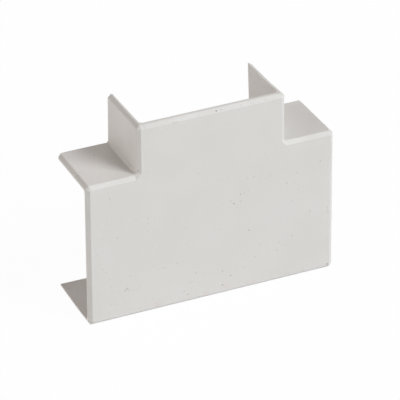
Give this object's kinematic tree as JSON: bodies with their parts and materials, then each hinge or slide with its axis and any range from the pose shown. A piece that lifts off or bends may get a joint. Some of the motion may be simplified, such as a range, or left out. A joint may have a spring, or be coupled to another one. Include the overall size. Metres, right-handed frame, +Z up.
{
  "type": "trunking tee fitting",
  "caption": "T-shaped slip-on cover that joins a branch to a run of flat cable trunking, open at its back and at its ends.",
  "frame": {"origin": "the middle of the fitting's length and depth, at the underside of the run's long side wall, on which it stands", "axes": "+X along the run, +Y out of the open back towards the building's wall, +Z up along the branch; the plain front faces -Y"},
  "size_m": [0.0734, 0.02, 0.0584],
  "materials": {
    "off_white_pvc": "moulded PVC, satin, warm off-white, with fine dark specks and faint smudges on its front"
  },
  "bodies": {
    "root": {"tee_cover": "off_white_pvc"}
  },
  "joints": []
}
